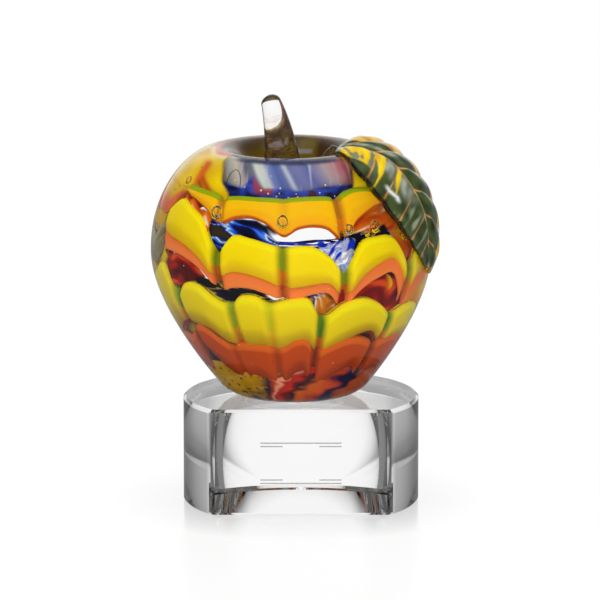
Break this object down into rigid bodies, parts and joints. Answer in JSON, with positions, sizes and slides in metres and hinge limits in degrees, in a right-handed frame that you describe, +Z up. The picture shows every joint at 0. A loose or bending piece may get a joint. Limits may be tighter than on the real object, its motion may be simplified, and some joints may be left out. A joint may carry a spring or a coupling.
{
  "type": "glass apple award",
  "caption": "Clear art-glass apple with crimped colour ribbons inside, a drawn stem and a pressed leaf, bonded to a round crystal base with one flat face.",
  "frame": {"origin": "centre of the base's underside, on the axis of its round wall", "axes": "+Z up through the base and the apple, -Y out of the base's flat front face, +X to the viewer's right"},
  "size_m": [0.1077, 0.1044, 0.1536],
  "materials": {
    "crystal": "polished clear optical crystal",
    "adhesive": "clear cured adhesive",
    "clear_glass": "fire-polished clear glass",
    "gold_glass": "opaque golden glass",
    "yellow_glass": "opaque yellow glass",
    "orange_glass": "opaque orange glass",
    "red_glass": "deep red glass",
    "blue_glass": "cobalt blue glass",
    "leaf_glass": "dark green glass with yellow streaks and clear margins"
  },
  "bodies": {
    "root": {"base_block": "crystal", "bond_disc": "adhesive", "apple_casing": "clear_glass", "apple_heart": "clear_glass", "blue_crown": "blue_glass", "tier_1_gold": "gold_glass", "tier_1_amber": "orange_glass", "tier_2_yellow": "yellow_glass", "tier_2_orange": "orange_glass", "tier_2_red": "red_glass", "tier_3_yellow": "yellow_glass", "tier_3_orange": "orange_glass", "tier_4_orange": "orange_glass", "tier_4_red": "red_glass", "thread_upper": "blue_glass", "thread_middle": "blue_glass", "thread_lower": "blue_glass", "stem": "clear_glass", "leaf_stalk": "clear_glass", "leaf_blade": "leaf_glass"}
  },
  "joints": []
}
